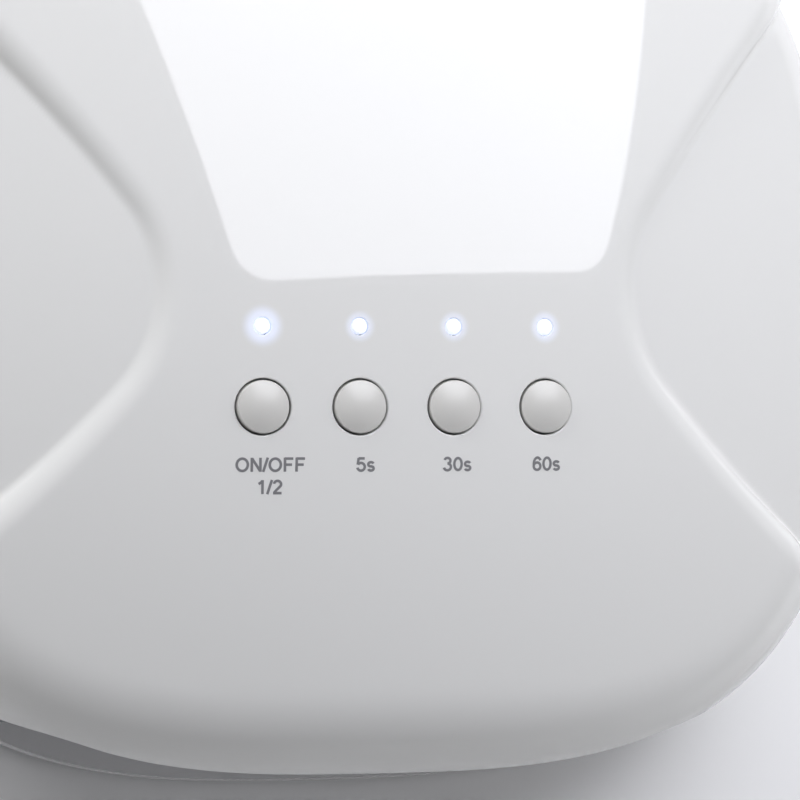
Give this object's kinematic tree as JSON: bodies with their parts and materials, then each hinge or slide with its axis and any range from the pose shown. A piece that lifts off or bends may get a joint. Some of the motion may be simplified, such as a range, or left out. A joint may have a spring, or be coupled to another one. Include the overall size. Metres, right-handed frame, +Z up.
{
  "type": "uv curing lamp",
  "caption": "Table-top UV curing lamp: glossy hourglass cover over a mirrored tunnel, round push buttons with indicator lamps, lift-off tray.",
  "frame": {"origin": "centre of the lamp's plan, on the surface it stands on", "axes": "+X to the right seen from the front, +Y to the back, away from the mouth, +Z up"},
  "size_m": [0.189, 0.1771, 0.077],
  "materials": {
    "cover": "high gloss white ABS",
    "reflector": "smooth white reflector plastic",
    "button": "satin warm white",
    "plunger": "matte",
    "indicator_lens": "clear epoxy, lit cool white",
    "black_plastic": "matte",
    "tinned_leads": "tinned",
    "board": "solder mask",
    "capacitor_cans": "sleeved can",
    "ferrite": "ferrite",
    "socket_plastic": "natural nylon",
    "steel": "zinc plated",
    "magnet": "nickel plated",
    "led_board": "white solder mask",
    "emitter": "ceramic package",
    "clear_lens": "clear silicone",
    "nickel": "nickel plated",
    "wire_cover": "PVC",
    "tray": "gloss white ABS",
    "mirror_sheet": "mirror film on card",
    "feet": "matte rubber"
  },
  "bodies": {
    "base_tray": {"base_plate": "tray", "mirror_sheet": "mirror_sheet", "keeper_discs": "steel", "tray_feet": "feet"},
    "lamp_head": {"top_cover": "cover", "reflector_tunnel": "reflector", "indicator_on_off": "indicator_lens", "indicator_short": "indicator_lens", "indicator_medium": "indicator_lens", "indicator_long": "indicator_lens", "indicator_spacers": "black_plastic", "indicator_leads": "tinned_leads", "switch_housings": "black_plastic", "control_board": "board", "controller_chip": "black_plastic", "capacitors": "capacitor_cans", "inductors": "ferrite", "driver_transistors": "black_plastic", "board_sockets": "socket_plastic", "board_screws": "steel", "magnets": "magnet", "frame_screws": "steel", "led_board_ceiling": "led_board", "emitters_ceiling": "emitter", "lenses_ceiling": "clear_lens", "led_board_screws": "steel", "led_board_left": "led_board", "emitters_left": "emitter", "lenses_left": "clear_lens", "led_board_right": "led_board", "emitters_right": "emitter", "lenses_right": "clear_lens", "led_sockets": "socket_plastic", "inlet_housing": "black_plastic", "inlet_pin": "nickel", "inlet_contact": "nickel", "wires_power": "wire_cover", "wires_ceiling": "wire_cover", "wires_left": "wire_cover", "wires_right": "wire_cover"},
    "key_on_off": {"button_on_off": "button", "plunger_on_off": "plunger"},
    "key_short": {"button_short": "button", "plunger_short": "plunger"},
    "key_medium": {"button_medium": "button", "plunger_medium": "plunger"},
    "key_long": {"button_long": "button", "plunger_long": "plunger"}
  },
  "joints": [
    {"name": "tray_release", "type": "slide", "parent": "base_tray", "child": "lamp_head", "axis": [0, 0, 1], "range_m": [0, 0.045]},
    {"name": "press_on_off", "type": "slide", "parent": "lamp_head", "child": "key_on_off", "axis": [0, 0.1533, -0.9882], "range_m": [0, 0.0005], "stiffness_N_per_m": 2000},
    {"name": "press_short", "type": "slide", "parent": "lamp_head", "child": "key_short", "axis": [0, 0.1533, -0.9882], "range_m": [0, 0.0005], "stiffness_N_per_m": 2000},
    {"name": "press_medium", "type": "slide", "parent": "lamp_head", "child": "key_medium", "axis": [0, 0.1533, -0.9882], "range_m": [0, 0.0005], "stiffness_N_per_m": 2000},
    {"name": "press_long", "type": "slide", "parent": "lamp_head", "child": "key_long", "axis": [0, 0.1533, -0.9882], "range_m": [0, 0.0005], "stiffness_N_per_m": 2000}
  ]
}
